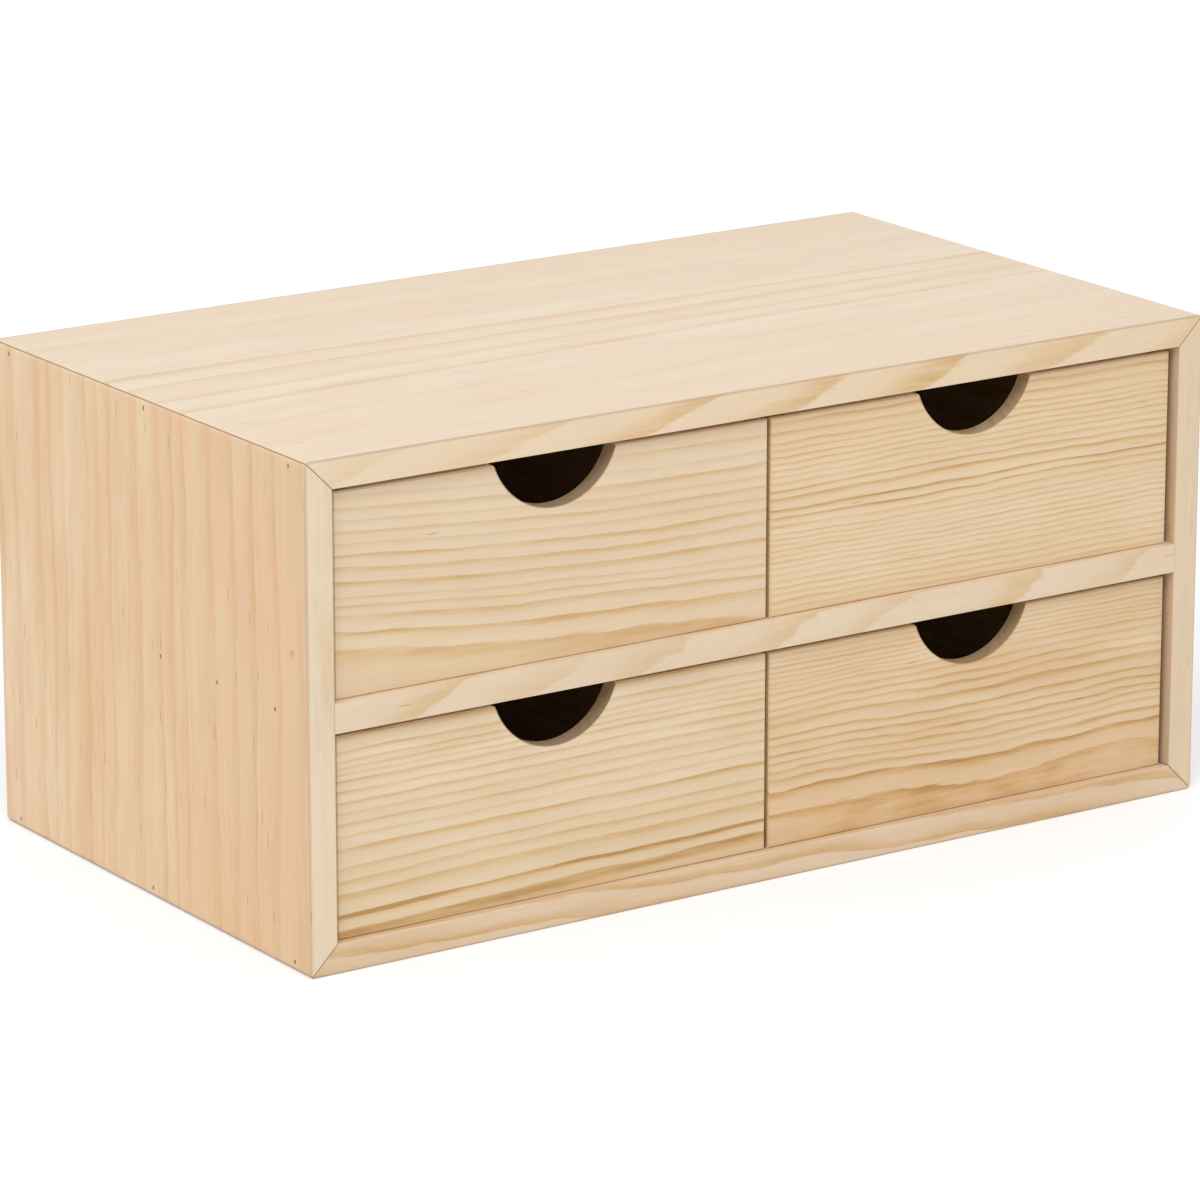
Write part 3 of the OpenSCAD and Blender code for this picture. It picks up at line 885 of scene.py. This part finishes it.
# %% Easing
MERGE_WITHIN = 0.002 * MM
FLAT_WITHIN = radians(0.6)
IN_PLANE_WITHIN = 0.01 * MM
SHORTEST_ARRIS = 2.5 * MM
ARRIS_ANGLE = radians(30)
MITRE_FACE_AREA = 100 * MM * MM
MITRE_WEIGHT = 0.35


def on_front_or_back(edge, low, high):
    """True for an edge that lies in the front or the back face of its board"""
    return any(all(abs(vert.co.y - y) < IN_PLANE_WITHIN for vert in edge.verts)
               for y in (low.y, high.y))


def on_mitre(edge):
    """True for an edge along the slanted face where two boards of the case meet"""
    return any(abs(abs(face.normal.x) - abs(face.normal.z)) < 0.01 and abs(face.normal.y) < 0.01
               and face.calc_area() > MITRE_FACE_AREA for face in edge.link_faces)


def eased_board(node_name, ease, material, body):
    """A board that stands for a CAD node: merged, eased by so many mm, and given its wood"""
    low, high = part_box(node_name)
    wood = bmesh.new()
    wood.from_mesh(frame["nodes"][node_name].data)
    bmesh.ops.remove_doubles(wood, verts=wood.verts, dist=MERGE_WITHIN)
    bmesh.ops.dissolve_limit(wood, angle_limit=FLAT_WITHIN, verts=wood.verts, edges=wood.edges)
    weight = wood.edges.layers.float.new("bevel_weight_edge")
    for edge in wood.edges:
        if edge.calc_face_angle(0) < ARRIS_ANGLE or not edge.is_convex:
            continue
        if edge.calc_length() > SHORTEST_ARRIS or on_front_or_back(edge, low, high):
            edge[weight] = MITRE_WEIGHT if on_mitre(edge) else 1.0
    for face in wood.faces:
        face.smooth = True
    for edge in wood.edges:
        edge.smooth = edge.calc_face_angle(0) < ARRIS_ANGLE
    mesh = bpy.data.meshes.new(node_name + "_wood")
    wood.to_mesh(mesh)
    wood.free()
    mesh.materials.append(material)

    board = bpy.data.objects.new(node_name + "_wood", mesh)
    bpy.context.scene.collection.objects.link(board)
    rounding = board.modifiers.new("eased_edges", "BEVEL")
    rounding.limit_method = "WEIGHT"
    rounding.width = ease * MM
    rounding.segments = 3
    rounding.harden_normals = True
    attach(board, body)
    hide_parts(node_name)
    eased = sum(1 for edge in mesh.edges if mesh.attributes["bevel_weight_edge"].data[edge.index].value)
    print(node_name, "-", len(mesh.polygons), "faces,", eased, "edges to ease")


# %% Boards of the case
CASE_EASE = 0.6

for node_name, wood in (("top_board", top_pine), ("bottom_board", bottom_pine),
                        ("left_board", left_pine), ("right_board", right_pine),
                        ("middle_shelf", shelf_pine)):
    eased_board(node_name, CASE_EASE, wood, "case")

# %% Plywood of the case
PLY_EASE = 0.25

back_ply = three_ply("pine_three_ply_back", "back_panel", 1, ALONG_X, 52)
divider_ply = three_ply("pine_three_ply_divider", "upper_divider", 0, ALONG_Y, 57)
for node_name, ply in (("back_panel", back_ply), ("upper_divider", divider_ply),
                       ("lower_divider", divider_ply)):
    eased_board(node_name, PLY_EASE, ply, "case")

# %% [markdown]
# ## The drawers
#
# All four are the same box: a front with rabbeted ends, two sides, a back that stands on the
# bottom, and a plywood bottom in grooves. The insides are plain pine, and each side is cut from
# another place in the log, so no two look alike.

# %% Wood of the boxes
BOX_GROWTH = ((0, 0), (30, 8), (60, 15), (110, 32))
BOX_DARKNESS = ((0, 0.45), (110, 0.4))
SIDE_FROM_MIDDLE = 79
SIDE_PITH, NEXT_SIDE_PITH, RIGHT_SIDE_RISE = (26, 24), (-3, 9), 6
REAR_PITH, NEXT_REAR_PITH = (72, 10), 12
SIDE_LEAN = 0.02
SIDE_SEED, NEXT_SIDE_SEED, REAR_SEED, BOTTOM_SEED = 61, 5, 83, 91


def side_wood(drawer, hand, way, middle, ground, count):
    """Pine for one side; way is -1 for a left side and 1 for a right one"""
    beyond = SIDE_FROM_MIDDLE + SIDE_PITH[0] + NEXT_SIDE_PITH[0] * count
    above = SIDE_PITH[1] + NEXT_SIDE_PITH[1] * count + RIGHT_SIDE_RISE * way
    return raw_pine("raw_pine_" + drawer + "_" + hand + "_side",
                    pith=(middle + way * beyond, 0, ground + above), grain=ALONG_Y,
                    growth=BOX_GROWTH, darkness=BOX_DARKNESS, lean=(SIDE_LEAN * way, 0, 0),
                    seed=SIDE_SEED + NEXT_SIDE_SEED * count + way)


def rear_wood(drawer, middle, ground, count):
    """Pine for the back of a drawer"""
    above = REAR_PITH[1] + NEXT_REAR_PITH * count
    return raw_pine("raw_pine_" + drawer + "_back", pith=(middle, REAR_PITH[0], ground + above),
                    grain=ALONG_X, growth=BOX_GROWTH, darkness=BOX_DARKNESS, seed=REAR_SEED + count)


print("Years in the wood of a drawer's box:", BOX_GROWTH[-1][1])

# %% Drawers
FRONT_EASE = 0.25
BOX_EASE = 0.5
BOTTOM_EASE = 0.2
FRONT_PINE = {"upper_left": upper_left_pine, "upper_right": upper_right_pine,
              "lower_left": lower_left_pine, "lower_right": lower_right_pine}

for count, (bay, front_pine) in enumerate(FRONT_PINE.items()):
    drawer = bay + "_drawer"
    low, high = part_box(drawer + "_front")
    middle, ground = (low.x + high.x) / 2 / MM, low.z / MM
    eased_board(drawer + "_front", FRONT_EASE, front_pine, drawer)
    for hand, way in (("left", -1), ("right", 1)):
        side_pine = side_wood(drawer, hand, way, middle, ground, count)
        eased_board(drawer + "_" + hand + "_side", BOX_EASE, side_pine, drawer)
    rear_pine = rear_wood(drawer, middle, ground, count)
    eased_board(drawer + "_back", BOX_EASE, rear_pine, drawer)
    bottom_ply = three_ply("pine_three_ply_" + drawer, drawer + "_bottom", 2, ALONG_X,
                           BOTTOM_SEED + count)
    eased_board(drawer + "_bottom", BOTTOM_EASE, bottom_ply, drawer)

low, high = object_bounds()
print("Visual box, mm:", [round(1000 * (h - l), 1) for l, h in zip(low, high)])
